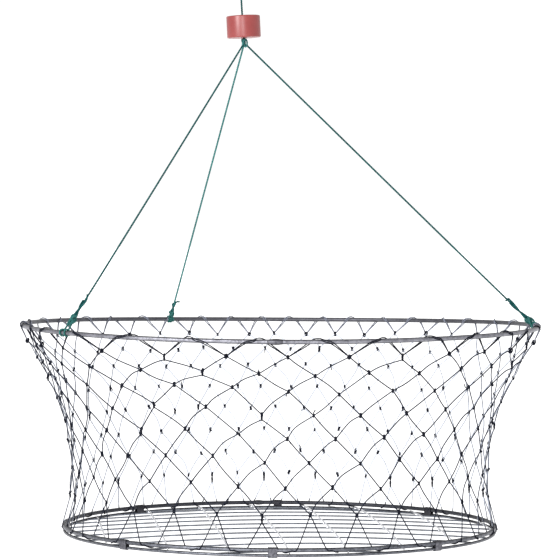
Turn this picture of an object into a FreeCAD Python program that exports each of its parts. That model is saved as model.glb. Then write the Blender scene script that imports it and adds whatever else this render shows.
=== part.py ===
import FreeCAD, Part
import math
import os

from FreeCAD import Vector

# Folding crab trap: a steel hoop and a steel wire floor joined by a waisted net, hung from a
# three-legged cord bridle with a float. Millimetres, +Z up. Heights below are measured from the
# underside of the floor; every solid is moved at the end so that the crown of the hand loop,
# where the trap hangs, is the origin.

# ---- driving dimensions -------------------------------------------------------------------
HOOP_RADIUS = 347.5
HOOP_ROD_RADIUS = 3.0
HOOP_BOW = 3.0
HOOP_BOW_STEPS = 12
WELD_BEAD_RADIUS = 3.9
WELD_BEAD_SWEEP = 3.4
WELD_BEAD_ANGLE = 269.0

BASE_RADIUS = 291.0
NET_RING_ROD_RADIUS = 2.75
FLOOR_RING_WIRE_RADIUS = 2.0
RING_SPACING = 6.8
TRAP_HEIGHT = 274.4

FLOOR_RING_Z = FLOOR_RING_WIRE_RADIUS
NET_RING_Z = FLOOR_RING_Z + RING_SPACING
HOOP_Z = FLOOR_RING_Z + TRAP_HEIGHT

MESH_WIRE_RADIUS = 1.1
MESH_TURN = 5.8
LINE_WIRE_PITCH = 50.0
LINE_WIRE_COUNT = 12
LINE_WIRE_START = -266.5
CROSS_WIRE_PITCH = 75.0
CROSS_WIRE_COUNT = 8
CROSS_WIRE_START = -241.5
FLOOR_DOME_RISE = 10.0
MESH_LAYER_GAP = 0.35
MESH_END_GAP = 0.3
MESH_SHORTEST_RUN = 14.0

CLIP_ANGLES = (43.0, 90.5, 133.5, 175.5, 226.8, 268.3, 314.1, 359.2)
CLIP_WIDTH = 12.0
CLIP_THICKNESS = 0.9
WRAP_CLEARANCE = 0.15

NET_THICKNESS = 1.2
NET_WAIST_RADIUS = 281.0
NET_WAIST_HEIGHT = 62.0
NET_SHOULDER_RADIUS = 297.0
NET_SHOULDER_HEIGHT = 172.0
NET_FOOT_GAP = 1.8
NET_HEAD_GAP = 3.4

CORD_RADIUS = 1.2
APEX = Vector(-51.3, 40.0, HOOP_Z + 386.6)
APEX_KNOT_HALF = (5.2, 6.6)
LINE_LEAN_IN_FLOAT = 5.2
LINE_LEAN_ABOVE = 2.8
LINE_IN_FLOAT = 37.5
LINE_ABOVE = 46.0
LOOP_KNOT_HALF = (5.0, 7.5)
LOOP_HALF_WIDTH = 14.0
LOOP_LENGTH = 62.0
LOOP_SHAPE = ((0.11, 0.0), (0.72, 0.28), (1.0, 0.64), (0.62, 1.0))

HITCH_ANGLES = {"left": 217.2, "back": 117.7, "right": 4.5}
HITCH_KNOT_DISTANCE = {"left": 23.0, "back": 10.0, "right": 9.5}
LEG_BEND_DISTANCE = {"left": 54.0, "back": 36.0, "right": 50.0}
LEG_BEND_OFFSET = {"left": 1.6, "back": 0.6, "right": 1.3}
HITCH_COLLAR_WIDTH = 9.0
HITCH_KNOT_HALF = (4.4, 5.4)
HITCH_NECK_RADIUS = 2.3
KNOT_OVERLAP = 1.5
BODY_GAP = 0.4

FLOAT_TILT = 3.0
FLOAT_RADIUS = 23.0
FLOAT_LENGTH = 30.0
FLOAT_BORE_RADIUS = 4.0
FLOAT_EDGE_RADIUS = 1.4

ARC_SHARE = 0.45
VOLUME_TOLERANCE = 0.01
UP = Vector(0, 0, 1)


# ---- helpers ------------------------------------------------------------------------------
def unit(vector):
    """The same direction with length one."""
    return vector / vector.Length


def on_circle(radius, degrees, height):
    """A point of a level circle about the trap's centre line."""
    angle = math.radians(degrees)
    return Vector(radius * math.cos(angle), radius * math.sin(angle), height)


def leaning(degrees):
    """An upward direction that leans to the left by some degrees."""
    lean = math.radians(degrees)
    return Vector(-math.sin(lean), 0, math.cos(lean))


def ring(radius, rod_radius, height):
    """A level ring bent from round rod."""
    return Part.makeTorus(radius, rod_radius, Vector(0, 0, height), UP)


def route_edges(points, report=None):
    """Straight runs joined by tangent arcs, each arc as large as its two runs allow."""
    edges = []
    start = points[0]
    for before, corner, after in zip(points, points[1:], points[2:]):
        arriving = unit(corner - before)
        leaving = unit(after - corner)
        half_turn = arriving.getAngle(leaving) / 2
        setback = ARC_SHARE * min((corner - before).Length, (after - corner).Length)
        radius = setback / math.tan(half_turn)
        enter = corner - arriving * setback
        leave = corner + leaving * setback
        inward = unit(leaving - arriving)
        middle = corner + inward * (radius / math.cos(half_turn) - radius)
        edges.append(Part.LineSegment(start, enter).toShape())
        edges.append(Part.Arc(enter, middle, leave).toShape())
        start = leave
        if report:
            print(report, "arc radius", round(radius, 1))
    edges.append(Part.LineSegment(start, points[-1]).toShape())
    return edges


def tube(points, radius, report=None):
    """A round wire or cord along a route, with its volume checked against section times length."""
    path = Part.Wire(route_edges(points, report))
    section = Part.Wire(Part.makeCircle(radius, points[0], points[1] - points[0]))
    solid = path.makePipeShell([section], True, False)
    expected = math.pi * radius ** 2 * path.Length
    if abs(solid.Volume - expected) > VOLUME_TOLERANCE * expected:
        raise ValueError(f"tube volume {solid.Volume:.1f} differs from {expected:.1f}")
    if report:
        print(report, "length", round(path.Length, 1))
    return solid


def egg(centre, half_width, half_length, axis):
    """A knot's outer shape: an ellipse turned about its long axis."""
    profile = Part.Ellipse(Vector(0, 0, half_length), Vector(half_width, 0, 0), Vector(0, 0, 0))
    outline = Part.ArcOfEllipse(profile, -math.pi, 0).toShape()
    start = outline.valueAt(outline.FirstParameter)
    end = outline.valueAt(outline.LastParameter)
    face = Part.Face(Part.Wire([outline, Part.LineSegment(end, start).toShape()]))
    solid = face.revolve(Vector(0, 0, 0), UP, 360)
    solid.Placement = FreeCAD.Placement(centre, FreeCAD.Rotation(UP, axis))
    return solid


# ---- hoop ---------------------------------------------------------------------------------
def on_hoop(degrees):
    """A point of the hoop's centreline: it hangs bowed, its left and right sides the highest."""
    return on_circle(HOOP_RADIUS, degrees, HOOP_Z + HOOP_BOW * math.cos(math.radians(2 * degrees)))


def make_hoop():
    """The mouth hoop, a closed rod ring with the bead of its butt weld at the front."""
    curve = Part.BSplineCurve()
    turns = [index * 180 / HOOP_BOW_STEPS for index in range(HOOP_BOW_STEPS + 1)]
    points = [on_hoop(turn) for turn in turns]
    backward = Vector(0, 1, 0)
    curve.interpolate(Points=points, InitialTangent=backward, FinalTangent=-backward)
    section = Part.Wire(Part.makeCircle(HOOP_ROD_RADIUS, on_hoop(0), backward))
    back_half = Part.Wire(curve.toShape()).makePipeShell([section], True, False)
    front_half = back_half.copy()
    front_half.rotate(Vector(0, 0, 0), UP, 180)
    start = on_hoop(WELD_BEAD_ANGLE - WELD_BEAD_SWEEP / 2)
    run = on_hoop(WELD_BEAD_ANGLE + WELD_BEAD_SWEEP / 2) - start
    bead = Part.makeCylinder(WELD_BEAD_RADIUS, run.Length, start, run)
    return back_half.fuse([front_half, bead])


# ---- floor --------------------------------------------------------------------------------
def dome_height(across, along):
    """How far the floor mesh stands above the floor ring: flat in the middle, level at the rim."""
    reach = BASE_RADIUS ** 2 - along ** 2
    crest = FLOOR_DOME_RISE * (1 - (along / BASE_RADIUS) ** 4)
    return max(0.0, crest * (1 - across ** 2 / reach))


def offsets(start, pitch, count):
    """The evenly spaced places of one set of parallel wires."""
    return [start + index * pitch for index in range(count)]


def mesh_wire(offset, crossings, runs_across, layer):
    """One wire of the welded floor mesh, from rim to rim, bowed over the dome at its crossings."""
    rim = BASE_RADIUS - FLOOR_RING_WIRE_RADIUS - MESH_END_GAP
    half = math.sqrt(rim ** 2 - (abs(offset) + MESH_WIRE_RADIUS) ** 2)
    inner = [place for place in crossings if abs(place) < half - MESH_SHORTEST_RUN]
    points = []
    for place in [-half, *inner, half]:
        across, along = (place, offset) if runs_across else (offset, place)
        height = FLOOR_RING_Z + dome_height(across, along) + layer
        points.append(Vector(across, along, height))
    wire = tube(points, MESH_WIRE_RADIUS)
    wire.rotate(Vector(0, 0, 0), UP, MESH_TURN)
    return wire


def make_floor_wires():
    """Line wires from left to right, and cross wires welded on top of them."""
    wires = {}
    lines = offsets(LINE_WIRE_START, LINE_WIRE_PITCH, LINE_WIRE_COUNT)
    crosses = offsets(CROSS_WIRE_START, CROSS_WIRE_PITCH, CROSS_WIRE_COUNT)
    for index, offset in enumerate(lines, start=1):
        wires[f"floor_line_wire_{index:02d}"] = mesh_wire(offset, crosses, True, 0.0)
    layer = 2 * MESH_WIRE_RADIUS + MESH_LAYER_GAP
    for index, offset in enumerate(crosses, start=1):
        wires[f"floor_cross_wire_{index}"] = mesh_wire(offset, lines, False, layer)
    return wires


def belt_face(lower_radius, upper_radius):
    """The area inside a belt pulled round both base rings, in the plane Y = 0."""
    centre_low = Vector(0, 0, FLOOR_RING_Z)
    centre_high = Vector(0, 0, NET_RING_Z)
    tilt = math.asin((upper_radius - lower_radius) / RING_SPACING)
    side = Vector(math.cos(tilt), 0, -math.sin(tilt))
    mirrored = Vector(-side.x, 0, side.z)
    low_right = centre_low + side * lower_radius
    low_left = centre_low + mirrored * lower_radius
    high_right = centre_high + side * upper_radius
    high_left = centre_high + mirrored * upper_radius
    outline = Part.Wire([
        Part.Arc(low_left, centre_low - UP * lower_radius, low_right).toShape(),
        Part.LineSegment(low_right, high_right).toShape(),
        Part.Arc(high_right, centre_high + UP * upper_radius, high_left).toShape(),
        Part.LineSegment(high_left, low_left).toShape(),
    ])
    return Part.Face(outline)


def make_clip(angle):
    """A flat steel band closed round the two base rings, holding them together."""
    lower = FLOOR_RING_WIRE_RADIUS + WRAP_CLEARANCE
    upper = NET_RING_ROD_RADIUS + WRAP_CLEARANCE
    band = belt_face(lower + CLIP_THICKNESS, upper + CLIP_THICKNESS).cut(belt_face(lower, upper))
    clip = band.extrude(Vector(0, CLIP_WIDTH, 0))
    clip.translate(Vector(BASE_RADIUS, -CLIP_WIDTH / 2, 0))
    clip.rotate(Vector(0, 0, 0), UP, angle)
    return clip


# ---- netting ------------------------------------------------------------------------------
def net_profile(inset):
    """The netting's waisted side from the net ring up to the hoop, moved inward by inset."""
    foot = Vector(BASE_RADIUS - inset, 0, NET_RING_Z + NET_RING_ROD_RADIUS + NET_FOOT_GAP)
    waist = Vector(NET_WAIST_RADIUS - inset, 0, NET_RING_Z + NET_WAIST_HEIGHT)
    shoulder = Vector(NET_SHOULDER_RADIUS - inset, 0, NET_SHOULDER_HEIGHT)
    head = Vector(HOOP_RADIUS - inset, 0, HOOP_Z - HOOP_BOW - HOOP_ROD_RADIUS - NET_HEAD_GAP)
    curve = Part.BSplineCurve()
    curve.interpolate([foot, waist, shoulder, head])
    return curve.toShape(), foot, head


def make_netting():
    """The whole net as one thin waisted skin, open at the hoop and at the floor."""
    outer, outer_foot, outer_head = net_profile(0)
    inner, inner_foot, inner_head = net_profile(NET_THICKNESS)
    foot_edge = Part.LineSegment(inner_foot, outer_foot).toShape()
    head_edge = Part.LineSegment(outer_head, inner_head).toShape()
    face = Part.Face(Part.Wire(Part.__sortEdges__([foot_edge, outer, head_edge, inner])))
    return face.revolve(Vector(0, 0, 0), UP, 360)


# ---- bridle -------------------------------------------------------------------------------
def leg_frame(name):
    """Where a bridle leg is tied to the hoop, and its direction towards the apex knot."""
    tied = on_hoop(HITCH_ANGLES[name])
    return tied, unit(APEX - tied)


def make_hitch(name):
    """A cord hitch round the hoop: wraps, a short doubled neck and the knot above them."""
    tied, direction = leg_frame(name)
    outward = on_circle(1, HITCH_ANGLES[name], 0)
    tangent = UP.cross(outward)
    start = tied - tangent * (HITCH_COLLAR_WIDTH / 2)
    bore = HOOP_ROD_RADIUS + WRAP_CLEARANCE
    collar = Part.makeCylinder(bore + 2 * CORD_RADIUS, HITCH_COLLAR_WIDTH, start, tangent)
    knot_distance = HITCH_KNOT_DISTANCE[name]
    neck = Part.makeCylinder(HITCH_NECK_RADIUS, knot_distance, tied, direction)
    knot = egg(tied + direction * knot_distance, *HITCH_KNOT_HALF, direction)
    hole_start = start - tangent * HITCH_COLLAR_WIDTH
    hole = Part.makeCylinder(bore, 3 * HITCH_COLLAR_WIDTH, hole_start, tangent)
    return collar.fuse([neck, knot]).cut(hole)


def make_leg(name):
    """One bridle leg, pulled straight from its hitch knot to the apex knot."""
    tied, direction = leg_frame(name)
    outward = on_circle(1, HITCH_ANGLES[name], 0)
    sideways = unit(outward - direction * outward.dot(direction))
    knot_top = HITCH_KNOT_DISTANCE[name] + HITCH_KNOT_HALF[1] + BODY_GAP
    lower_end = tied + direction * knot_top
    bend = tied + direction * LEG_BEND_DISTANCE[name] - sideways * LEG_BEND_OFFSET[name]
    upper_end = APEX - direction * (APEX_KNOT_HALF[0] - KNOT_OVERLAP)
    return tube([lower_end, bend, upper_end], CORD_RADIUS, f"bridle_leg_{name}")


# ---- line, float and loop -----------------------------------------------------------------
def haul_bend():
    """Where the haul line leaves the top of the float, against the left side of its bore."""
    return APEX + leaning(LINE_LEAN_IN_FLOAT) * LINE_IN_FLOAT


def loop_knot_centre():
    """The knot that closes the hand loop, at the top of the haul line."""
    return haul_bend() + leaning(LINE_LEAN_ABOVE) * LINE_ABOVE


def make_haul_line():
    """The haul line from the apex knot, through the float, to the loop knot."""
    start = APEX + leaning(LINE_LEAN_IN_FLOAT) * (APEX_KNOT_HALF[1] - KNOT_OVERLAP)
    end = loop_knot_centre() - leaning(LINE_LEAN_ABOVE) * (LOOP_KNOT_HALF[1] - KNOT_OVERLAP)
    return tube([start, haul_bend(), end], CORD_RADIUS, "haul_line")


def loop_route():
    """The hand loop's route: up one side, over the crown and down the other."""
    knot_top = loop_knot_centre() + UP * (LOOP_KNOT_HALF[1] - KNOT_OVERLAP)
    side = [(across * LOOP_HALF_WIDTH, up * LOOP_LENGTH) for across, up in LOOP_SHAPE]
    left = [knot_top + Vector(-across, 0, up) for across, up in side]
    right = [knot_top + Vector(across, 0, up) for across, up in reversed(side)]
    return left + right


def make_float():
    """The moulded float: a bored cylinder with rounded edges, sitting on the apex knot."""
    direction = leaning(FLOAT_TILT)
    seat = APEX + direction * (APEX_KNOT_HALF[1] + BODY_GAP)
    body = Part.makeCylinder(FLOAT_RADIUS, FLOAT_LENGTH, seat, direction)
    bore = Part.makeCylinder(FLOAT_BORE_RADIUS, FLOAT_LENGTH, seat, direction)
    bored = body.cut(bore)
    rims = [edge for edge in bored.Edges if len(edge.Vertexes) == 1]
    return bored.makeFillet(FLOAT_EDGE_RADIUS, rims)


# ---- assembly -----------------------------------------------------------------------------
def build():
    """Every sub-part by name, with heights from the underside of the floor."""
    parts = {
        "top_hoop": make_hoop(),
        "netting": make_netting(),
        "base_net_ring": ring(BASE_RADIUS, NET_RING_ROD_RADIUS, NET_RING_Z),
        "base_floor_ring": ring(BASE_RADIUS, FLOOR_RING_WIRE_RADIUS, FLOOR_RING_Z),
        "apex_knot": egg(APEX, *APEX_KNOT_HALF, leaning(LINE_LEAN_IN_FLOAT)),
        "float": make_float(),
        "haul_line": make_haul_line(),
        "loop_knot": egg(loop_knot_centre(), *LOOP_KNOT_HALF, leaning(LINE_LEAN_ABOVE)),
        "hand_loop": tube(loop_route(), CORD_RADIUS, "hand_loop"),
    }
    parts.update(make_floor_wires())
    for index, angle in enumerate(CLIP_ANGLES, start=1):
        parts[f"rim_clip_{index}"] = make_clip(angle)
    for name in HITCH_ANGLES:
        parts[f"bridle_hitch_{name}"] = make_hitch(name)
        parts[f"bridle_leg_{name}"] = make_leg(name)
    return parts


def hang_point():
    """Under the crown of the hand loop, where a hook or a hand bears."""
    route = loop_route()
    middle = len(route) // 2
    crown = (route[middle - 1] + route[middle]) / 2
    return crown - UP * CORD_RADIUS


os.makedirs("parts", exist_ok=True)
origin = hang_point()
print("hang point", origin)
for part_name, part_shape in build().items():
    part_shape.translate(-origin)
    if not part_shape.isValid() or len(part_shape.Solids) != 1:
        raise ValueError(f"{part_name} is not one valid solid")
    part_shape.exportStep(f"parts/{part_name}.step")
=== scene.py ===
import math
import random

import bpy
import numpy as np
from mathutils import Matrix, Vector


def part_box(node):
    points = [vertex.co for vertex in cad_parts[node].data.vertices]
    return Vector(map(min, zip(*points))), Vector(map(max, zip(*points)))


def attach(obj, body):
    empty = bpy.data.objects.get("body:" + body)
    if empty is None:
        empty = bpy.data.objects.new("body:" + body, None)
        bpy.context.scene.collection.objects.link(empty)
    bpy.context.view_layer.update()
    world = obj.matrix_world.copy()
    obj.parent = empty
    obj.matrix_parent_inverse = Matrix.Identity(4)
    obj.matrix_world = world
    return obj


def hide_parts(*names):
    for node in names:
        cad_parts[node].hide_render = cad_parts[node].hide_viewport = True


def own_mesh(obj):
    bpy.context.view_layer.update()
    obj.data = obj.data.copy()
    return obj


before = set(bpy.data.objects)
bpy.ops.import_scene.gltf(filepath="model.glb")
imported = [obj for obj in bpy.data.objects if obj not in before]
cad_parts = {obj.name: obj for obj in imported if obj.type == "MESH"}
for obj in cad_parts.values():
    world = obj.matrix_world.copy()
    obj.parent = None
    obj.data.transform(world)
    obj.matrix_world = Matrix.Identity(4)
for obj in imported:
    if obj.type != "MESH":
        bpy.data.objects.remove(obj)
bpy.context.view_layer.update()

# A folding crab trap, in metres, in the frame's own coordinates. The origin is the hang point under
# the crown of the hand loop, so the heights of the rings come from their nodes' boxes.

# radii of the round rods, and how far the hanging hoop bows up and down from level
HOOP_ROD = 0.003
HOOP_BOW = 0.003
NET_RING_ROD = 0.00275
FLOOR_RING_WIRE = 0.002


def box_centre(node):
    """The middle of a node's box."""
    low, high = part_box(node)
    return (low + high) / 2


def ring_radius(node, rod):
    """A level ring's centreline radius, from its box's width."""
    low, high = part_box(node)
    return (high.x - low.x) / 2 - rod


AXIS = box_centre("base_net_ring")
HOOP_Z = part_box("top_hoop")[1].z - HOOP_ROD - HOOP_BOW
NET_RING_Z = AXIS.z
FLOOR_RING_Z = box_centre("base_floor_ring").z
HOOP_RADIUS = ring_radius("top_hoop", HOOP_ROD)
BASE_RADIUS = ring_radius("base_net_ring", NET_RING_ROD)
APEX = box_centre("apex_knot")

# ---- camera and studio ----------------------------------------------------------------------
CAMERA_DISTANCE = 3.911
CAMERA_HEIGHT = 0.4425
CAMERA_OFFSET = -0.0024
CAMERA_TILT = 1.501
CAMERA_ROLL = 0.29
CAMERA_LENS = 186.45
FLOOR_DROP = 0.55
SEED = 7

# ---- cords ----------------------------------------------------------------------------------
# the crowns of the laid strands stand out by CORD_FULLNESS, so the mean width is near the diameter
CORD_DIAMETER = 0.0024
CORD_FULLNESS = 1.16
CORD_LAY = 0.0085
CORD_STEP = 0.0007

# routes of the cords: legs from hitch knot to apex knot, the line upwards, the loop once round
LEG_ROUTES = {
    "left": [
        (-0.20717, -0.23603, -0.51419),
        (-0.19500, -0.22312, -0.49622),
        (0.00402, -0.00181, -0.15288),
    ],
    "back": [
        (-0.10099, 0.25894, -0.52573),
        (-0.09615, 0.24736, -0.50989),
        (0.00480, 0.00204, -0.15306),
    ],
    "right": [
        (0.39237, -0.01238, -0.52311),
        (0.36650, -0.01176, -0.49995),
        (0.00831, -0.00009, -0.15266),
    ],
}
HAUL_ROUTE = [(0.00518, 0.0, -0.14501), (0.00225, 0.0, -0.11275), (0.00029, 0.0, -0.07279)]
LOOP_ROUTE = [
    (-0.00154, 0.0, -0.0608),
    (-0.01008, 0.0, -0.04344),
    (-0.014, 0.0, -0.02112),
    (-0.00868, 0.0, 0.0012),
    (0.00868, 0.0, 0.0012),
    (0.014, 0.0, -0.02112),
    (0.01008, 0.0, -0.04344),
    (0.00154, 0.0, -0.0608),
]

# each leg's hitch: its angle round the hoop, how far its knot stands off and how wide it spreads;
# and its tail: the length laid up along the leg, and how far its tip goes on and turns aside
HITCH_ANGLES = {"left": 217.2, "back": 117.7, "right": 4.5}
HITCH_KNOT_DISTANCE = {"left": 0.023, "back": 0.0100, "right": 0.0095}
HITCH_SPREAD = {"left": 0.0050, "back": 0.0020, "right": 0.0024}
HITCH_KNOT_WIDTH = {"left": 0.0054, "back": 0.0046, "right": 0.0060}
TAIL_LENGTH = {"left": 0.029, "back": 0.017, "right": 0.037}
TAIL_TIP = {"left": (0.0070, 0.0030), "back": (0.0030, -0.0056), "right": (0.0004, 0.0055)}

# ---- floor mesh -----------------------------------------------------------------------------
# a domed mesh of line wires and cross wires, turned a little about the trap's centre line
MESH_WIRE = 0.0011
MESH_TURN = 5.8
DOME_RISE = 0.010
LINE_WIRES = 12
LINE_START = -0.2665
LINE_PITCH = 0.050
CROSS_WIRES = 8
CROSS_START = -0.2415
CROSS_PITCH = 0.075
WELD_MARGIN = 0.018

# ---- float ----------------------------------------------------------------------------------
FLOAT_RADIUS = 0.023
FLOAT_LENGTH = 0.030
FLOAT_BORE = 0.004
FLOAT_RIM = 0.0016
FLOAT_LIP = 0.0007
FLOAT_TILT = 3.0
FLOAT_SEAT = 0.0070
FLOAT_FACETS = 96

# ---- netting --------------------------------------------------------------------------------
# meshes round the trap, drawn wide open at the front and gathered at the back by MESH_SPREAD
# degrees, in rows of knots at these heights over the floor ring
MESHES_ROUND = 36
MESH_SPREAD = 14.3
ROW_HEIGHTS = (0.2511, 0.2290, 0.2054, 0.1759, 0.1464, 0.1145, 0.0829, 0.0503)
FIRST_KNOT = 1.36
# near the left hitch the upper rows are pulled sideways, and beside it the middle rows are lifted
NET_SKEW = 9.0
NET_SKEW_AT = 222.0
NET_SKEW_SPREAD = 21.0
NET_LIFT = 0.012
NET_LIFT_AT = 246.0
NET_LIFT_SPREAD = 17.0
# the strands' slack, how far those that lean one way bow, the twine's diameters and clearances
STRAND_SLACK = 0.0007
STRAND_BULGE = 0.0034
TWINE = 0.00160
SELVEDGE_TWINE = 0.00150
SELVEDGE_GAP = 0.0010
WRAP_ALLOWANCE = 0.0007
# the free net ends this far from the rings, where the loops that stay with a ring begin
SPLIT_BELOW_HOOP = 0.0096
SPLIT_ABOVE_RING = 0.0060
# how unevenly the knots sit: round the trap in degrees, up and down, and in and out
KNOT_TURN_ERROR = 0.40
KNOT_HEIGHT_ERROR = 0.0014
KNOT_DEPTH_ERROR = 0.0010
# the edge rows' knots lie outside their ring or, every other one, behind it
OUTER_KNOT_OFFSET = 0.0012
INNER_KNOT_OFFSET = -0.0016
# half the width and half the length of a knot
KNOT_SIZE = (0.0019, 0.0033)
SELVEDGE_KNOT_SIZE = (0.0031, 0.0036)
# some knots have a twisted link to the strands below, longer in the lowest row, or a loose end
EDGE_LINK_CHANCE = 0.3
EDGE_LINK = (0.008, 0.012)
LINK_CHANCE = 0.05
LINK = (0.004, 0.007)
LOOSE_END_CHANCE = 0.16
LOOSE_END = (0.004, 0.009)

rng = random.Random(SEED)


# =============================================================================================
# shapes
# =============================================================================================
def place(radius, degrees, z):
    """A point about the trap's centre line, in the frame."""
    angle = math.radians(degrees)
    return Vector((AXIS.x + radius * math.cos(angle), AXIS.y + radius * math.sin(angle), z))


class MeshParts:
    """Collects tubes and lumps, then becomes one mesh object with a map along and round each tube."""

    def __init__(self):
        self.points = []
        self.faces = []
        self.maps = []

    def grid(self, rings, along, closed=False):
        """Joins rings of points, each of the same count, into a skin with capped ends."""
        count = len(rings[0])
        base = len(self.points)
        for one in rings:
            self.points.extend(tuple(p) for p in one)
        last = len(rings) if closed else len(rings) - 1
        for i in range(last):
            low = base + i * count
            high = base + ((i + 1) % len(rings)) * count
            step = along[i + 1] if i + 1 < len(along) else along[i]
            for j in range(count):
                k = (j + 1) % count
                self.faces.append((low + j, low + k, high + k, high + j))
                left, right = j / count, (j + 1) / count
                self.maps.append(((left, along[i]), (right, along[i]), (right, step), (left, step)))
        if not closed:
            ends = (list(range(base + count - 1, base - 1, -1)),
                    list(range(base + (len(rings) - 1) * count, base + len(rings) * count)))
            for end in ends:
                self.faces.append(tuple(end))
                self.maps.append(tuple((0.5, 0.0) for _ in end))

    def tube(self, path, radius, sides=6, lobes=0, lay=CORD_LAY, closed=False, taper=None):
        """A tube along a path; with lobes it is a cord of that many strands, one turn in each lay."""
        path = np.asarray(path, float)
        frames = transport(path, closed)
        lengths = np.concatenate([[0], np.cumsum(np.linalg.norm(np.diff(path, axis=0), axis=1))])
        angles = np.linspace(0, 2 * math.pi, sides, endpoint=False)
        rings = []
        for i, (centre, (side, up)) in enumerate(zip(path, frames)):
            size = radius * (taper(i / max(1, len(path) - 1)) if taper else 1)
            twist = 2 * math.pi * lengths[i] / lay if lobes else 0
            reach = size * (lobe_outline(angles, lobes) if lobes else np.ones(sides))
            turned = angles + twist
            rings.append(centre + np.outer(reach * np.cos(turned), side)
                         + np.outer(reach * np.sin(turned), up))
        self.grid(rings, list(lengths), closed)

    def build(self, name):
        """The finished object, linked into the scene."""
        mesh = bpy.data.meshes.new(name)
        mesh.from_pydata([tuple(map(float, p)) for p in self.points], [], self.faces)
        layer = mesh.uv_layers.new(name="cord_map")
        flat = [value for face in self.maps for corner in face for value in corner]
        layer.data.foreach_set("uv", np.array(flat, np.float32))
        mesh.polygons.foreach_set("use_smooth", [True] * len(mesh.polygons))
        mesh.update()
        made = bpy.data.objects.new(name, mesh)
        bpy.context.scene.collection.objects.link(made)
        return made


def transport(path, closed):
    """Side and up directions along a path that turn no more than the path does."""
    if closed:
        tangents = np.roll(path, -1, 0) - np.roll(path, 1, 0)
    else:
        tangents = np.gradient(path, axis=0)
    tangents /= np.maximum(np.linalg.norm(tangents, axis=1), 1e-12)[:, None]
    start = np.array([0, 0, 1.0]) if abs(tangents[0][2]) < 0.9 else np.array([1.0, 0, 0])
    side = np.cross(tangents[0], start)
    frames = []
    for tangent in tangents:
        side = side - tangent * side.dot(tangent)
        side /= np.linalg.norm(side)
        frames.append((side, np.cross(tangent, side)))
    return frames


def lobe_outline(angles, lobes):
    """The outline of round strands laid side by side, as a share of the cord's radius."""
    half = math.pi / lobes
    strand = math.sin(half) / (1 + math.sin(half))
    offset = 1 - strand
    away = (angles + half) % (2 * half) - half
    inside = np.maximum(strand ** 2 - (offset * np.sin(away)) ** 2, (0.35 * strand) ** 2)
    return offset * np.cos(away) + np.sqrt(inside)


def smooth_path(points, per_span):
    """A Catmull-Rom curve through a few points."""
    pts = [np.array(p, float) for p in points]
    pts = [2 * pts[0] - pts[1], *pts, 2 * pts[-1] - pts[-2]]
    path = []
    for a, b, c, d in zip(pts, pts[1:], pts[2:], pts[3:]):
        for step in range(per_span):
            t = step / per_span
            path.append(0.5 * (2 * b + (c - a) * t + (2 * a - 5 * b + 4 * c - d) * t * t
                               + (3 * b - a - 3 * c + d) * t ** 3))
    path.append(pts[-2])
    return np.array(path)


def knot_path(centre, axis, half_width, half_length, twine_radius, turn, samples):
    """A small overhand-like tangle: a three-lobed torus knot stretched along an axis."""
    axis = Vector(axis).normalized()
    rotation = Vector((0, 0, 1)).rotation_difference(axis).to_matrix() @ Matrix.Rotation(turn, 3, "Z")
    reach = half_width - twine_radius
    rise = half_length - twine_radius
    path = []
    for i in range(samples):
        t = 2 * math.pi * i / samples
        out = reach * (0.62 + 0.38 * math.cos(3 * t))
        local = Vector((out * math.cos(2 * t), out * math.sin(2 * t), rise * math.sin(3 * t)))
        path.append(tuple(Vector(centre) + rotation @ local))
    return path


def lerp(a, b, share):
    """A point part of the way from a to b."""
    return Vector(a) + (Vector(b) - Vector(a)) * share


# =============================================================================================
# materials
# =============================================================================================
def new_material(name, **values):
    """A Principled material with uniform values set on the shader's own sockets."""
    material = bpy.data.materials.new(name)
    material.use_nodes = True
    shader = material.node_tree.nodes["Principled BSDF"]
    for socket, value in values.items():
        shader.inputs[socket.replace("_", " ")].default_value = value
    return material, material.node_tree, shader


def add(tree, kind, **settings):
    """A new node with some of its settings and input values."""
    node = tree.nodes.new(kind)
    for key, value in settings.items():
        if hasattr(node, key):
            setattr(node, key, value)
        else:
            node.inputs[key.replace("_", " ")].default_value = value
    return node


def noise(tree, scale, detail, roughness=0.55):
    """Noise in the frame's own metres."""
    where = add(tree, "ShaderNodeTexCoord")
    texture = add(tree, "ShaderNodeTexNoise", Scale=scale, Detail=detail, Roughness=roughness)
    tree.links.new(where.outputs["Object"], texture.inputs["Vector"])
    return texture.outputs["Fac"]


def ramp(tree, fac, stops):
    """A colour ramp with the given stops of place and colour."""
    node = add(tree, "ShaderNodeValToRGB")
    while len(node.color_ramp.elements) < len(stops):
        node.color_ramp.elements.new(0.5)
    for element, (where, colour) in zip(node.color_ramp.elements, stops):
        element.position = where
        element.color = (*colour, 1)
    tree.links.new(fac, node.inputs["Fac"])
    return node.outputs["Color"]


def spread(tree, value, low, high, start=0.0, stop=1.0):
    """Maps values from start to stop onto values from low to high."""
    node = add(tree, "ShaderNodeMapRange")
    node.inputs["From Min"].default_value = start
    node.inputs["From Max"].default_value = stop
    node.inputs["To Min"].default_value = low
    node.inputs["To Max"].default_value = high
    tree.links.new(value, node.inputs["Value"])
    return node.outputs["Result"]


def maths(tree, operation, value, number=0.0):
    """One arithmetic node on a socket, with a number where the operation needs a second value."""
    node = add(tree, "ShaderNodeMath", operation=operation)
    tree.links.new(value, node.inputs[0])
    node.inputs[1].default_value = number
    return node.outputs["Value"]


def weighted_sum(tree, first, first_weight, second, second_weight):
    """The sum of two sockets, each times its weight."""
    total = maths(tree, "MULTIPLY_ADD", first, first_weight)
    tree.links.new(maths(tree, "MULTIPLY", second, second_weight), total.node.inputs[2])
    return total


def bump(tree, shader, height, distance, strength):
    """Fine relief from a height."""
    node = add(tree, "ShaderNodeBump", Strength=strength, Distance=distance)
    tree.links.new(height, node.inputs["Height"])
    tree.links.new(node.outputs["Normal"], shader.inputs["Normal"])


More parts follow.
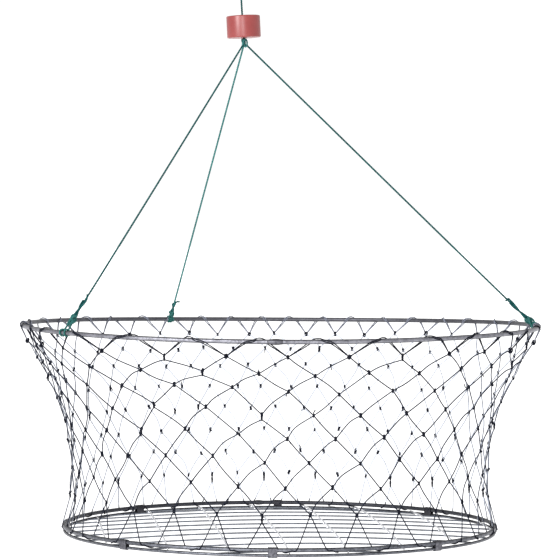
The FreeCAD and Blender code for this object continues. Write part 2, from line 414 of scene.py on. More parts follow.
def facing_up_or_down(tree):
    """How far a surface faces up or down, from 0 to 1."""
    normal = add(tree, "ShaderNodeNewGeometry").outputs["Normal"]
    split = add(tree, "ShaderNodeSeparateXYZ")
    tree.links.new(normal, split.inputs["Vector"])
    return maths(tree, "ABSOLUTE", split.outputs["Z"])


def facing_outward(tree):
    """How far a surface faces away from the trap's centre line, from -1 to 1."""
    normal = add(tree, "ShaderNodeNewGeometry").outputs["Normal"]
    where = add(tree, "ShaderNodeTexCoord")
    outward = add(tree, "ShaderNodeVectorMath", operation="SUBTRACT")
    tree.links.new(where.outputs["Object"], outward.inputs[0])
    outward.inputs[1].default_value = (AXIS.x, AXIS.y, 0)
    flat = add(tree, "ShaderNodeVectorMath", operation="MULTIPLY")
    tree.links.new(outward.outputs["Vector"], flat.inputs[0])
    flat.inputs[1].default_value = (1, 1, 0)
    radial = add(tree, "ShaderNodeVectorMath", operation="NORMALIZE")
    tree.links.new(flat.outputs["Vector"], radial.inputs[0])
    dot = add(tree, "ShaderNodeVectorMath", operation="DOT_PRODUCT")
    tree.links.new(radial.outputs["Vector"], dot.inputs[0])
    tree.links.new(normal, dot.inputs[1])
    return dot.outputs["Value"]


def mixed(tree, share, first, second):
    """One colour or the other, by a share from 0 to 1."""
    node = add(tree, "ShaderNodeMix", data_type="RGBA")
    tree.links.new(share, node.inputs["Factor"])
    colours = [socket for socket in node.inputs if socket.type == "RGBA"]
    for socket, colour in zip(colours, (first, second)):
        if isinstance(colour, tuple):
            socket.default_value = (*colour, 1)
        else:
            tree.links.new(colour, socket)
    return [socket for socket in node.outputs if socket.type == "RGBA"][0]


def scaled(colour, share):
    """A colour made darker or lighter."""
    return tuple(value * share for value in colour)


def galvanised_steel(name, dark, light, edge=0.30, polish=(0.26, 0.62), inside=None):
    """Hot-dip zinc on steel: cloudy spangle, rougher patches and small pits, with painted shade along
    the top and the underside of each rod, turned to a painted highlight where edge is above one. The
    side that faces the trap's middle can take painted shade too, by a share of the dark tone."""
    material, tree, shader = new_material(name, Metallic=0.92)
    cloud = noise(tree, 90.0, 5.0)
    spangle = add(tree, "ShaderNodeTexVoronoi", Scale=420.0, Randomness=1.0)
    where = add(tree, "ShaderNodeTexCoord")
    tree.links.new(where.outputs["Object"], spangle.inputs["Vector"])
    grain = weighted_sum(tree, spangle.outputs["Color"], 0.35, cloud, 0.75)
    zinc = ramp(tree, grain, [(0.3, dark), (0.8, light)])
    # painted shade along the top and the underside of each rod; where edge is above one it is a painted
    # highlight
    painted_edge_share = spread(tree, facing_up_or_down(tree), 0.0, 1.0, start=0.45, stop=0.92)
    colour = mixed(tree, painted_edge_share, zinc, scaled(dark, edge))
    # painted shade on the side that faces the trap's middle, mottled by the cloud noise
    if inside:
        inward_shade_share = spread(tree, facing_outward(tree), 1.0, 0.0, start=-0.6, stop=-0.1)
        painted_inward_shade = mixed(tree, cloud, scaled(dark, inside * 0.4), scaled(dark, inside * 1.6))
        colour = mixed(tree, inward_shade_share, colour, painted_inward_shade)
    tree.links.new(colour, shader.inputs["Base Color"])
    tree.links.new(spread(tree, noise(tree, 260.0, 6.0), *polish), shader.inputs["Roughness"])
    bump(tree, shader, noise(tree, 1400.0, 6.0, 0.7), 0.00025, 0.6)
    return material


def laid_fibre(name, dark, light, fibres, per_metre, shine, inside=None, patches=55.0):
    """Twisted fibre: fine ridges that wind round each tube with painted shade in their grooves, and faded and
    dark stretches. With a colour for the inside, the side of the twine that faces into the trap takes it as
    painted glare."""
    material, tree, shader = new_material(name, Specular_IOR_Level=shine)
    where = add(tree, "ShaderNodeUVMap", uv_map="cord_map")
    split = add(tree, "ShaderNodeSeparateXYZ")
    tree.links.new(where.outputs["UV"], split.inputs["Vector"])
    along, around = split.outputs["Y"], split.outputs["X"]
    phase = weighted_sum(tree, along, 2 * math.pi * per_metre, around, 2 * math.pi * fibres)
    ridge = spread(tree, maths(tree, "SINE", phase), 0.0, 1.0, start=-1.0)
    # the ridges tint the colour as well: painted shade in the grooves between the fibres, lighter on their
    # crowns
    tone = weighted_sum(tree, ridge, 0.35, noise(tree, patches, 5.0), 0.8)
    colour = ramp(tree, tone, [(0.25, dark), (0.8, light)])
    if inside:
        # painted glare: the side of the twine that faces into the trap is washed out to the pale inside
        # colour
        painted_glare_share = spread(tree, facing_outward(tree), 1.0, 0.0, start=-0.62, stop=-0.25)
        colour = mixed(tree, painted_glare_share, colour, inside)
    tree.links.new(colour, shader.inputs["Base Color"])
    tree.links.new(spread(tree, noise(tree, 700.0, 4.0), 0.6, 0.9), shader.inputs["Roughness"])
    bump(tree, shader, ridge, 0.00012, 0.7)
    return material


def moulded_plastic(name, dark, light):
    """Satin moulded plastic with sun-faded patches, fine scuffs and a slight orange-peel skin."""
    material, tree, shader = new_material(name, Specular_IOR_Level=0.55)
    fade = noise(tree, 38.0, 6.0, 0.6)
    tree.links.new(ramp(tree, fade, [(0.3, dark), (0.72, light)]), shader.inputs["Base Color"])
    scuff = noise(tree, 520.0, 8.0, 0.75)
    tree.links.new(spread(tree, scuff, 0.30, 0.44), shader.inputs["Roughness"])
    bump(tree, shader, noise(tree, 900.0, 5.0), 0.0001, 0.3)
    return material


# the hoop, base ring and weld steels take painted shade on the side that faces the trap's middle
HOOP_STEEL = galvanised_steel(
    "hoop_steel", (0.10, 0.10, 0.115), (0.285, 0.285, 0.32), inside=0.75)
BASE_STEEL = galvanised_steel(
    "base_steel", (0.050, 0.052, 0.062), (0.165, 0.172, 0.195), inside=0.70)
LINE_WIRE_STEEL = galvanised_steel(
    "line_wire_steel", (0.06, 0.066, 0.080), (0.18, 0.195, 0.225))
# the cross wires are the same galvanised wire as the line wires, in a pale, glossy copy that is lighter still
# on the top and underside: a painted highlight
HIGHLIT_CROSS_WIRE_STEEL = galvanised_steel(
    "cross_wire_steel", (0.44, 0.45, 0.48), (0.68, 0.69, 0.73), edge=1.1, polish=(0.08, 0.20))
WELD_STEEL = galvanised_steel(
    "weld_steel", (0.035, 0.035, 0.042), (0.15, 0.15, 0.17), inside=0.8)
# the net body and the selvedge take painted glare on the side that faces into the trap, paler on the body;
# the knots keep their dark colour
NET_TWINE = laid_fibre(
    "net_twine", (0.003, 0.004, 0.008), (0.013, 0.016, 0.027),
    fibres=3, per_metre=420.0, shine=0.05, inside=(0.44, 0.47, 0.54))
SELVEDGE_LOOK = laid_fibre(
    "selvedge_twine", (0.003, 0.003, 0.006), (0.010, 0.012, 0.020),
    fibres=3, per_metre=420.0, shine=0.05, inside=(0.16, 0.17, 0.21))
KNOT_TWINE = laid_fibre(
    "knot_twine", (0.003, 0.003, 0.006), (0.010, 0.012, 0.020), fibres=3, per_metre=420.0, shine=0.05)
BRIDLE_CORD = laid_fibre(
    "bridle_cord", (0.002, 0.022, 0.022), (0.045, 0.200, 0.190),
    fibres=6, per_metre=700.0, shine=0.10, patches=240.0)
# a darker copy of the bridle cord, for the left and right legs, the haul line and the tails
DARKER_CORD = laid_fibre(
    "darker_cord", (0.001, 0.009, 0.010), (0.014, 0.098, 0.096),
    fibres=6, per_metre=700.0, shine=0.04, patches=240.0)
# the knot cord's fine, strong mottle stands in for glints and shaded crevices: painted highlights and painted
# shade
KNOT_CORD = laid_fibre(
    "knot_cord", (0.0005, 0.006, 0.007), (0.032, 0.160, 0.146),
    fibres=6, per_metre=700.0, shine=0.14, patches=620.0)
LEG_LOOKS = {"left": DARKER_CORD, "back": BRIDLE_CORD, "right": DARKER_CORD}
FLOAT_PLASTIC = moulded_plastic("float_plastic", (0.175, 0.019, 0.018), (0.215, 0.031, 0.029))


def finish_piece(piece, material, slot, body, *nodes):
    """Gives a piece its material and its body, and hides the nodes it replaces; the slot is not used."""
    piece.data.materials.append(material)
    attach(piece, body)
    if nodes:
        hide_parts(*nodes)
    return piece


# =============================================================================================
# cords
# =============================================================================================
def spline_points(name, route):
    """The smooth line of a route, as a NURBS spline draws it."""
    curve = bpy.data.curves.new(name, "CURVE")
    curve.dimensions = "3D"
    spline = curve.splines.new("NURBS")
    spline.points.add(len(route) - 1)
    for point, where in zip(spline.points, route):
        point.co = (*where, 1)
    spline.order_u = 3
    spline.use_endpoint_u = True
    spline.resolution_u = 48
    holder = bpy.data.objects.new(name, curve)
    bpy.context.scene.collection.objects.link(holder)
    bpy.context.view_layer.update()
    graph = bpy.context.evaluated_depsgraph_get()
    mesh = bpy.data.meshes.new_from_object(holder.evaluated_get(graph))
    points = np.array([v.co for v in mesh.vertices])
    bpy.data.objects.remove(holder)
    bpy.data.meshes.remove(mesh)
    return points


def even(path, step):
    """The same path at evenly spaced points."""
    path = np.asarray(path, float)
    lengths = np.concatenate([[0], np.cumsum(np.linalg.norm(np.diff(path, axis=0), axis=1))])
    count = max(2, int(round(lengths[-1] / step)) + 1)
    wanted = np.linspace(0, lengths[-1], count)
    return np.stack([np.interp(wanted, lengths, path[:, k]) for k in range(3)], 1)


def laid_cord(name, route):
    """A three-strand cord along a route: the piece, the line it follows and its length."""
    line = spline_points(name + "_line", route)
    parts = MeshParts()
    parts.tube(even(line, CORD_STEP), CORD_DIAMETER / 2 * CORD_FULLNESS, sides=18, lobes=3)
    length = float(np.linalg.norm(np.diff(line, axis=0), axis=1).sum())
    return parts.build(name), line, length


def squash_to(piece):
    """Gives a piece its own copy of its mesh."""
    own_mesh(piece)


def make_leg(name, route):
    """One bridle leg, pulled straight between its hitch and the apex knot."""
    piece, line, length = laid_cord(f"leg_{name}", route)
    finish_piece(piece, LEG_LOOKS[name], "bridle_cord", "line", f"bridle_leg_{name}")
    squash_to(piece)
    make_tail(name)


def make_line():
    """The haul line through the float, and the hand loop that ends it."""
    line_piece, line, length = laid_cord("haul_line_cord", HAUL_ROUTE)
    finish_piece(line_piece, DARKER_CORD, "bridle_cord", "line", "haul_line")
    loop_piece, loop, loop_length = laid_cord("hand_loop_cord", LOOP_ROUTE)
    finish_piece(loop_piece, BRIDLE_CORD, "bridle_cord", "line", "hand_loop")
    knot = cord_knot("loop_knot_cord", box_centre("loop_knot"), (0, 0, 1), 0.0050, 0.0075)
    finish_piece(knot, KNOT_CORD, "bridle_cord", "line", "loop_knot")


def cord_knot(name, centre, axis, half_width, half_length):
    """A tight knot of the bridle's cord."""
    parts = MeshParts()
    path = knot_path(centre, axis, half_width, half_length, CORD_DIAMETER * 0.52, 0.0, 150)
    parts.tube(path, CORD_DIAMETER * 0.55, sides=15, lobes=3, closed=True)
    return parts.build(name)


def hitch_line(name):
    """Where a leg's hitch sits on the hoop, where its knot is, and the direction up the leg."""
    angle = HITCH_ANGLES[name]
    tied = place(HOOP_RADIUS, angle, HOOP_Z + bow_at(angle))
    direction = (APEX - tied).normalized()
    return tied, tied + direction * HITCH_KNOT_DISTANCE[name], direction


def add_cord(parts, path, diameter=CORD_DIAMETER, **kinds):
    """One length of three-strand cord in a knot or a hitch."""
    parts.tube(path, diameter / 2 * CORD_FULLNESS, sides=15, lobes=3, **kinds)


def add_noose(parts, name, side):
    """One of a hitch's two cords: wrapped round the rod, then led up a short neck to the knot."""
    tied, knot_centre, direction = hitch_line(name)
    outward = (tied - Vector((AXIS.x, AXIS.y, tied.z))).normalized()
    tangent = Vector((0, 0, 1)).cross(outward)
    around = HOOP_ROD + CORD_DIAMETER * 0.52
    centre = tied + tangent * side * HITCH_SPREAD[name]
    wrap = []
    for i in range(31):
        turn = 2 * math.pi * i / 20 + 0.9
        shift = tangent * side * (i / 30 - 0.5) * CORD_DIAMETER * 1.5
        swing = Vector((0, 0, around * math.sin(turn)))
        wrap.append(tuple(centre + shift + outward * around * math.cos(turn) + swing))
    add_cord(parts, wrap)
    foot = centre + direction * (around + 0.0002)
    bulge = tangent * side * HITCH_SPREAD[name] * 0.25
    neck = [foot, lerp(foot, knot_centre, 0.55) + bulge, knot_centre + tangent * side * 0.0008]
    add_cord(parts, smooth_path(neck, 8))


def make_hitch(name):
    """A noose round the hoop drawn into a tight knot, with one turn more where the neck is long."""
    knot_centre, direction = hitch_line(name)[1:]
    parts = MeshParts()
    for side in (-1, 1):
        add_noose(parts, name, side)
    knots = [(0.0, 1.0, 0.4), (0.0003, 0.62, 2.3)]
    if HITCH_KNOT_DISTANCE[name] >= 0.02:
        knots.append((-0.0060, 0.8, 1.7))
    for distance, share, turn in knots:
        centre = knot_centre + direction * distance
        width = HITCH_KNOT_WIDTH[name] * share
        path = knot_path(centre, direction, width, width * 1.15, CORD_DIAMETER * 0.5, turn, 120)
        add_cord(parts, path, CORD_DIAMETER * 1.04, closed=True)
    piece = parts.build(f"hitch_{name}")
    finish_piece(piece, KNOT_CORD, "bridle_cord", "hoop", f"bridle_hitch_{name}")


def make_tail(name):
    """The cord's free end, laid back along the leg above the knot and whipped round it."""
    knot_centre, direction = hitch_line(name)[1:]
    sideways = direction.cross(Vector((0, 1, 0))).normalized()
    depth = direction.cross(sideways)
    length = TAIL_LENGTH[name]
    parts = MeshParts()
    for start, turns, share_of_length in ((0.2, 0.5, 1.0), (3.2, 0.6, 0.88)):
        path = []
        for i in range(25):
            share = i / 24
            turn = start + 2 * math.pi * turns * share
            away = CORD_DIAMETER * (0.74 + 0.10 * math.sin(math.pi * share))
            along = direction * (0.0045 + length * share_of_length * share)
            swing = sideways * math.cos(turn) + depth * math.sin(turn)
            path.append(tuple(knot_centre + along + swing * away))
        if share_of_length == 1.0:
            end = Vector(path[-1])
            onward, aside = TAIL_TIP[name]
            tip = end + direction * onward + sideways * aside
            path += [tuple(lerp(end, tip, 0.4) + direction * 0.0008), tuple(tip)]
        add_cord(parts, even(smooth_path(path, 3), CORD_STEP), CORD_DIAMETER * 0.94)
    piece = parts.build(f"leg_{name}_tail")
    finish_piece(piece, DARKER_CORD, "bridle_cord", "line")
    squash_to(piece)
    return piece


# =============================================================================================
# netting
# =============================================================================================
# the waisted outline of the net's side, fitted through four heights and their radii
PROFILE = np.polyfit(
    [NET_RING_Z, NET_RING_Z + 0.062, FLOOR_RING_Z + 0.170, HOOP_Z - 0.0064],
    [BASE_RADIUS, 0.281, 0.297, HOOP_RADIUS], 3)


def bow_at(degrees):
    """How far the hanging hoop stands above, or below, its mean height at an angle."""
    return HOOP_BOW * math.cos(math.radians(2 * degrees))


def knot_angle(count):
    """The angle of a knot: the meshes are drawn wide open at the front and gathered at the back."""
    even_turn = FIRST_KNOT + count * 360 / MESHES_ROUND
    return (270 + even_turn + MESH_SPREAD * math.sin(math.radians(even_turn))) % 360


def bell(value, middle, spread_out):
    """A smooth bump of height one."""
    return math.exp(-((value - middle) / spread_out) ** 2)


def net_radius(z):
    """The net's radius at a height: it draws in to a waist between the hoop and the floor."""
    return float(np.polyval(PROFILE, z))


class Knot:
    """One knot of the net: where it is, its angle round the trap and where the strands below start."""

    def __init__(self, row, index):
        half = (row % 2) * 0.5
        angle = knot_angle(index + half)
        down = row / (len(ROW_HEIGHTS) - 1)
        pulled = NET_SKEW * bell(angle, NET_SKEW_AT, NET_SKEW_SPREAD) * (1 - down) ** 1.2
        self.angle = angle - pulled + rng.gauss(0, KNOT_TURN_ERROR)
        share = ROW_HEIGHTS[row] / (HOOP_Z - FLOOR_RING_Z)
        lift = (bow_at(self.angle) + HOOP_BOW) * share
        lift += NET_LIFT * bell(self.angle, NET_LIFT_AT, NET_LIFT_SPREAD) * math.sin(math.pi * down)
        z = FLOOR_RING_Z + ROW_HEIGHTS[row] + lift + rng.gauss(0, KNOT_HEIGHT_ERROR)
        first = row == 0
        last = row == len(ROW_HEIGHTS) - 1
        self.front = index % 2 == (1 if first else 0)
        self.selvedge = first and self.front
        if first or last:
            offset = OUTER_KNOT_OFFSET if self.front else INNER_KNOT_OFFSET
        else:
            offset = rng.gauss(0, KNOT_DEPTH_ERROR)
        self.at = place(net_radius(z) + offset, self.angle, z)
        self.link = 0.0
        if last and rng.random() < EDGE_LINK_CHANCE:
            self.link = rng.uniform(*EDGE_LINK)
        elif rng.random() < LINK_CHANCE:
            self.link = rng.uniform(*LINK)
        self.below = self.at - Vector((0, 0, self.link))


def make_knots():
    """Every knot, row by row from the hoop down."""
    return [[Knot(row, index) for index in range(MESHES_ROUND)] for row in range(len(ROW_HEIGHTS))]


def strand(a, b):
    """One side of a mesh between two knots, a little slack and never quite straight."""
    a, b = Vector(a), Vector(b)
    run = b - a
    across = Vector((run.y, -run.x, 0)).normalized()
    upward = run.cross(across).normalized()
    bend = rng.gauss(0, STRAND_SLACK)
    lift = rng.gauss(0, STRAND_SLACK)
    skew = rng.uniform(0.35, 0.65)
    sag = Vector((0, 0, abs(rng.gauss(0, STRAND_SLACK * 0.5))))
    middle = lerp(a, b, skew) + across * bend + upward * lift - sag
    outward = (a - Vector((AXIS.x, AXIS.y, a.z))).normalized()
    tangent = Vector((0, 0, 1)).cross(outward)
    if run.dot(tangent) < 0:
        middle += (Vector((0, 0, 1)) - tangent * 0.8) * STRAND_BULGE * rng.uniform(0.0, 1.0)
    return smooth_path([a, middle, b], 5)


def cut_at(path, z):
    """Splits a path where it crosses a height: the stretches above, and the stretches below."""
    above, below, current, high = [], [], [path[0]], path[0][2] >= z
    for a, b in zip(path, path[1:]):
        if (b[2] >= z) != high:
            share = (z - a[2]) / (b[2] - a[2])
            crossing = a + (b - a) * share
            current.append(crossing)
            (above if high else below).append(np.array(current))
            current, high = [crossing], not high
        current.append(b)
    (above if high else below).append(np.array(current))
    return above, below


def wrap_route(front, behind, radius, rod, over):
    """A strand from a knot outside a ring, over (or under) the rod, to a knot behind it."""
    sign = 1 if over else -1
    out = rod + WRAP_ALLOWANCE
    turn = (behind.angle - front.angle + 180) % 360 - 180
    start = front.at if over else front.below
    end = behind.at if over else behind.below
    jitter = rng.uniform(-0.03, 0.03)

    def on(share, inset, rise):
        """A point by the rod, part of the way round from one knot to the other."""
        angle = front.angle + turn * (share + jitter)
        ring_z = HOOP_Z + bow_at(angle) if over else NET_RING_Z
        return place(radius + inset, angle, ring_z + rise)

    return [
        start,
        on(0.30, out * 0.75, -sign * out * 0.66),
        on(0.41, out, sign * out * 0.15),
        on(0.52, out * 0.30, sign * out * 0.95),
        on(0.60, -out * 0.75, sign * out * 0.66),
        on(0.66, -out, -sign * out * 0.20),
        on(0.70, -out * 0.62, -sign * out * 0.95),
        end,
    ]


def doubled(stations, gap):
    """Two strands side by side along one route."""
    routes = []
    for side in (-1, 1):
        moved = [stations[0]]
        for before, here, after in zip(stations, stations[1:], stations[2:]):
            along = (Vector(after) - Vector(before)).normalized()
            outward = (Vector(here) - Vector((AXIS.x, AXIS.y, here[2]))).normalized()
            across = along.cross(outward).normalized()
            moved.append(Vector(here) + across * side * gap * rng.uniform(0.7, 1.3))
        moved.append(stations[-1])
        routes.append(smooth_path(moved, 5))
    return routes


def add_knot(parts, knot):
    """The knot itself, its link to the strands below and sometimes a loose end."""
    half_width, half_length = SELVEDGE_KNOT_SIZE if knot.selvedge else KNOT_SIZE
    tilt = Vector((rng.gauss(0, 0.25), rng.gauss(0, 0.25), 1))
    size = rng.uniform(0.88, 1.16)
    path = knot_path(knot.at, tilt, half_width * size, half_length * size, TWINE / 2, rng.uniform(0, 6.3), 28)
    parts.tube(path, TWINE * 0.56, sides=5, closed=True)
    if knot.link:
        for side in (0.0, math.pi):
            twist = []
            for i in range(9):
                share = i / 8
                turn = side + 5.0 * share
                away = Vector((math.cos(turn), math.sin(turn), 0)) * TWINE * 0.5
                twist.append(lerp(knot.at, knot.below, share) + away)
            parts.tube([tuple(p) for p in twist], TWINE / 2, sides=6)
        low = knot_path(knot.below, (0, 0, 1), half_width * 0.8, half_length * 0.55, TWINE / 2, 0.0, 24)
        parts.tube(low, TWINE * 0.5, sides=5, closed=True)
    if rng.random() < LOOSE_END_CHANCE:
        drop = Vector((rng.gauss(0, 0.4), rng.gauss(0, 0.4), rng.choice((-1, -1, 1)))).normalized()
        length = rng.uniform(*LOOSE_END)
        tip = knot.at + drop * length
        bend = lerp(knot.at, tip, 0.5) + Vector((rng.gauss(0, 0.0006), rng.gauss(0, 0.0006), 0))
        parts.tube(smooth_path([knot.at, bend, tip], 3), TWINE * 0.45, sides=5)


def add_tubes(parts, paths, twine):
    """Lengths of plain twine."""
    for path in paths:
        parts.tube(path, twine / 2, sides=6)


def add_meshes(parts, knots):
    """The strands from every knot down to the two knots below it."""
    for number, (upper, lower) in enumerate(zip(knots, knots[1:])):
        shift = 0 if number % 2 else -1
        for index, knot in enumerate(upper):
            for step in (shift, shift + 1):
                other = lower[(index + step) % MESHES_ROUND]
                add_tubes(parts, [strand(knot.below, other.at)], TWINE)


def neighbours(row):
    """Each front knot of a row with the knot on either side of it, which lies behind the ring."""
    for index, knot in enumerate(row):
        if knot.front:
            for step in (-1, 1):
                yield knot, row[(index + step) % MESHES_ROUND]


def make_netting():
    """The knotted net: loops round the hoop, loops round the base ring and the free net between."""
    knots = make_knots()
    free, tied, ties, hoop_loops, base_loops = (MeshParts() for _ in range(5))
    split_top = HOOP_Z - SPLIT_BELOW_HOOP
    split_bottom = NET_RING_Z + SPLIT_ABOVE_RING
    for row in knots:
        for knot in row:
            add_knot(tied, knot)
    add_meshes(free, knots)
    for front, behind in neighbours(knots[0]):
        stations = wrap_route(front, behind, HOOP_RADIUS, HOOP_ROD, True)
        for path in doubled(stations, SELVEDGE_GAP):
            above, below = cut_at(path, split_top)
            add_tubes(hoop_loops, above, SELVEDGE_TWINE)
            add_tubes(ties, below, SELVEDGE_TWINE)
    for front, behind in neighbours(knots[-1]):
        stations = wrap_route(front, behind, BASE_RADIUS, NET_RING_ROD, False)
        above, below = cut_at(smooth_path(stations, 5), split_bottom)
        add_tubes(base_loops, below, TWINE)
        add_tubes(free, above, TWINE)
    net = finish_piece(free.build("net_body"), NET_TWINE, "net_twine", "hoop", "netting")
    knotwork = finish_piece(tied.build("net_knots"), KNOT_TWINE, "net_twine", "hoop")
    selvedge = finish_piece(ties.build("net_selvedge"), SELVEDGE_LOOK, "net_twine", "hoop")
    for piece in (net, knotwork, selvedge):
        squash_to(piece)
    finish_piece(hoop_loops.build("net_hoop_loops"), SELVEDGE_LOOK, "net_twine", "hoop")
    finish_piece(base_loops.build("net_base_loops"), KNOT_TWINE, "net_twine", "base")


# =============================================================================================
# steel and float
# =============================================================================================
def rod_ring(radius, rod, z, bowed=False):
    """A ring of round rod, level or bowed like the hanging hoop."""
    parts = MeshParts()
    path = []
    for angle in range(360):
        path.append(tuple(place(radius, angle, z + (bow_at(angle) if bowed else 0))))
    parts.tube(path, rod, sides=20, closed=True)
    return parts


def weld_lump(parts, centre, tangent, half_length, radius, rings=9, sides=14):
    """A rough bead of weld metal round a rod."""
    tangent = Vector(tangent).normalized()
    path = [Vector(centre) + tangent * half_length * (2 * i / (rings - 1) - 1) for i in range(rings)]

    def swell(share):
        """The bead's thickness along it: full in the middle, thinner and ragged at the ends."""
        return (0.72 + 0.30 * math.sin(math.pi * share)) * rng.uniform(0.96, 1.05)

    parts.tube([tuple(p) for p in path], radius, sides=sides, taper=swell)


def make_hoop():
    """The mouth hoop with its butt weld."""
    parts = rod_ring(HOOP_RADIUS, HOOP_ROD, HOOP_Z, bowed=True)
    finish_piece(parts.build("hoop_rod"), HOOP_STEEL, "hoop_steel", "hoop", "top_hoop")
    bead = MeshParts()
    where = place(HOOP_RADIUS, 269.0, HOOP_Z - HOOP_BOW)
    weld_lump(bead, where, (1, 0, 0), half_length=0.0105, radius=0.00385)
    finish_piece(bead.build("hoop_weld"), WELD_STEEL, "hoop_steel", "hoop")


def make_base_rings():
    """The two base rings, closed by small butt welds."""
    upper = rod_ring(BASE_RADIUS, NET_RING_ROD, NET_RING_Z)
    weld_lump(upper, place(BASE_RADIUS, 96.0, NET_RING_Z), (1, 0, 0), half_length=0.008, radius=0.0034)
    finish_piece(upper.build("net_ring_rod"), BASE_STEEL, "base_steel", "base", "base_net_ring")
    lower = rod_ring(BASE_RADIUS, FLOOR_RING_WIRE, FLOOR_RING_Z)
    weld_lump(lower, place(BASE_RADIUS, 75.0, FLOOR_RING_Z), (1, 0, 0), half_length=0.006, radius=0.0026)
    finish_piece(lower.build("floor_ring_wire"), BASE_STEEL, "base_steel", "base", "base_floor_ring")


def on_floor(across, along):
    """A point on the domed floor where a line wire rests under a cross wire."""
    turn = math.radians(MESH_TURN)
    crest = DOME_RISE * (1 - (along / BASE_RADIUS) ** 4)
    dome = max(0.0, crest * (1 - across ** 2 / (BASE_RADIUS ** 2 - along ** 2)))
    height = FLOOR_RING_Z + dome + MESH_WIRE
    x = across * math.cos(turn) - along * math.sin(turn)
    y = across * math.sin(turn) + along * math.cos(turn)
    return Vector((AXIS.x + x, AXIS.y + y, height))


def make_floor_welds():
    """A squeezed spot of weld at every crossing of the floor wires."""
    parts = MeshParts()
    along_line = (math.cos(math.radians(MESH_TURN)), math.sin(math.radians(MESH_TURN)), 0)
    for line in range(LINE_WIRES):
        along = LINE_START + LINE_PITCH * line
        for cross in range(CROSS_WIRES):
            across = CROSS_START + CROSS_PITCH * cross
            if math.hypot(across, along) > BASE_RADIUS - WELD_MARGIN:
                continue
            half_length = rng.uniform(0.0018, 0.0026)
            where = on_floor(across, along)
            weld_lump(parts, where, along_line, half_length, radius=0.0013, rings=7, sides=10)
    # the welds take the cross wires' pale steel and its painted highlight
    finish_piece(parts.build("floor_welds"), HIGHLIT_CROSS_WIRE_STEEL, "base_steel", "base")


def dress_cad_nodes():
    """The floor wires and clips keep their own shapes and take a steel each."""
    # the cross wires take the pale steel that carries a painted highlight
    steels = {"floor_line": LINE_WIRE_STEEL, "floor_cross": HIGHLIT_CROSS_WIRE_STEEL, "rim_clip": WELD_STEEL}
    for name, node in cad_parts.items():
        kind = "_".join(name.split("_")[:2])
        if kind in steels:
            node.data.materials.clear()
            node.data.materials.append(steels[kind])


def arc(centre, radius, start, step, count):
    """Points of a quarter circle in the float's section, as radius and height."""
    turns = [math.radians(start + step * i) for i in range(count)]
    return [(centre[0] + radius * math.cos(turn), centre[1] + radius * math.sin(turn)) for turn in turns]


def make_float():
    """The float: a section with rounded rims and a bored middle, turned about the tilted line."""
    outline = [
        *arc((FLOAT_RADIUS - FLOAT_RIM, FLOAT_RIM), FLOAT_RIM, -90, 15, 7),
        *arc((FLOAT_RADIUS - FLOAT_RIM, FLOAT_LENGTH - FLOAT_RIM), FLOAT_RIM, 0, 15, 7),
        *arc((FLOAT_BORE + FLOAT_LIP, FLOAT_LENGTH - FLOAT_LIP), FLOAT_LIP, 90, 22.5, 5),
        *arc((FLOAT_BORE + FLOAT_LIP, FLOAT_LIP), FLOAT_LIP, 180, 22.5, 5),
    ]
    tilt = math.radians(FLOAT_TILT)
    axis = Vector((-math.sin(tilt), 0, math.cos(tilt)))
    side = Vector((math.cos(tilt), 0, math.sin(tilt)))
    depth = Vector((0, 1, 0))
    seat = APEX + axis * FLOAT_SEAT
    rings = []
    for i in range(FLOAT_FACETS):
        turn = 2 * math.pi * i / FLOAT_FACETS
        radial = side * math.cos(turn) + depth * math.sin(turn)
        rings.append([tuple(seat + radial * r + axis * h) for r, h in outline])
    parts = MeshParts()
    parts.grid(rings, [i / FLOAT_FACETS * 0.14 for i in range(FLOAT_FACETS)], closed=True)
    finish_piece(parts.build("float_body"), FLOAT_PLASTIC, "float_plastic", "float", "float")


# =============================================================================================
# studio
# =============================================================================================
def make_camera():
    """A long lens a little above the hoop, looking slightly down and rolled by a trace."""
    data = bpy.data.cameras.new("camera")
    data.lens = CAMERA_LENS
    data.sensor_width = 36.0
    data.clip_end = 100.0
    camera = bpy.data.objects.new("camera", data)
    aim = Matrix.Rotation(math.radians(90 - CAMERA_TILT), 3, "X")
    aim = aim @ Matrix.Rotation(math.radians(CAMERA_ROLL), 3, "Z")
    camera.location = (AXIS.x + CAMERA_OFFSET, AXIS.y - CAMERA_DISTANCE, FLOOR_RING_Z + CAMERA_HEIGHT)
    camera.rotation_euler = aim.to_euler()
    bpy.context.scene.collection.objects.link(camera)
    bpy.context.scene.camera = camera


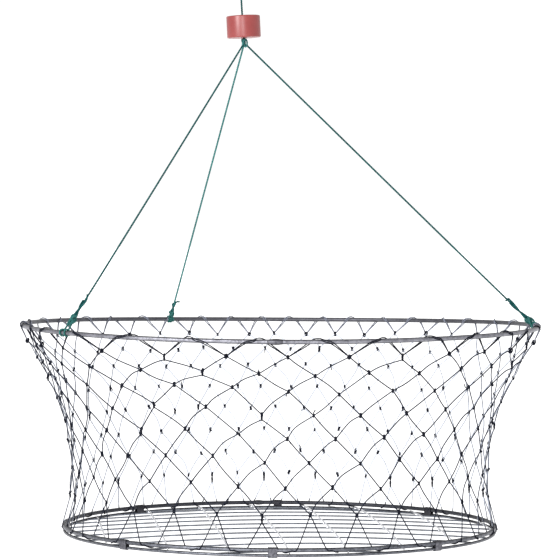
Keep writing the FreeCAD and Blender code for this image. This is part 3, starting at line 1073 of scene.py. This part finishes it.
def area_light(name, location, target, size, power):
    """A soft square light aimed at a point."""
    data = bpy.data.lights.new(name, "AREA")
    data.size = size
    data.energy = power
    lamp = bpy.data.objects.new(name, data)
    lamp.location = location
    lamp.rotation_euler = (Vector(target) - Vector(location)).to_track_quat("-Z", "Y").to_euler()
    bpy.context.scene.collection.objects.link(lamp)


def make_floor():
    """A plain pale floor, well below the hanging trap."""
    material, tree, shader = new_material("pale_floor", Roughness=0.9)
    tone = ramp(tree, noise(tree, 3.0, 3.0), [(0.3, (0.93, 0.93, 0.93)), (0.7, (0.96, 0.96, 0.96))])
    tree.links.new(tone, shader.inputs["Base Color"])
    shader.inputs["Emission Color"].default_value = (1, 1, 1, 1)
    shader.inputs["Emission Strength"].default_value = 0.45
    reach = 60.0
    z = FLOOR_RING_Z - FLOOR_DROP
    corners = [(-reach, -reach, z), (reach, -reach, z), (reach, reach, z), (-reach, reach, z)]
    mesh = bpy.data.meshes.new("studio_floor")
    mesh.from_pydata(corners, [], [(0, 1, 2, 3)])
    mesh.materials.append(material)
    floor = bpy.data.objects.new("studio_floor", mesh)
    bpy.context.scene.collection.objects.link(floor)


def make_lights():
    """Soft white light from all round, a key lamp at the front left and a weaker one in front."""
    world = bpy.data.worlds.new("studio")
    world.use_nodes = True
    background = world.node_tree.nodes["Background"]
    background.inputs["Color"].default_value = (1.0, 1.0, 1.0, 1)
    background.inputs["Strength"].default_value = 1.05
    bpy.context.scene.world = world
    middle = place(0, 0, (HOOP_Z + FLOOR_RING_Z) / 2)
    area_light("key", middle + Vector((-2.2, -2.6, 1.2)), middle, 0.9, 95)
    area_light("front", middle + Vector((-0.35, -4.2, 0.9)), middle, 0.7, 62)
    bpy.context.scene.view_settings.view_transform = "Standard"


# =============================================================================================
# the model
# =============================================================================================
make_camera()
for leg_name, leg_route in LEG_ROUTES.items():
    make_leg(leg_name, leg_route)
    make_hitch(leg_name)
make_line()
apex = cord_knot("apex_knot_cord", APEX, (-0.09, 0, 1), 0.0052, 0.0066)
finish_piece(apex, BRIDLE_CORD, "bridle_cord", "line", "apex_knot")
make_netting()
make_hoop()
make_base_rings()
make_floor_welds()
dress_cad_nodes()
make_float()
make_floor()
make_lights()
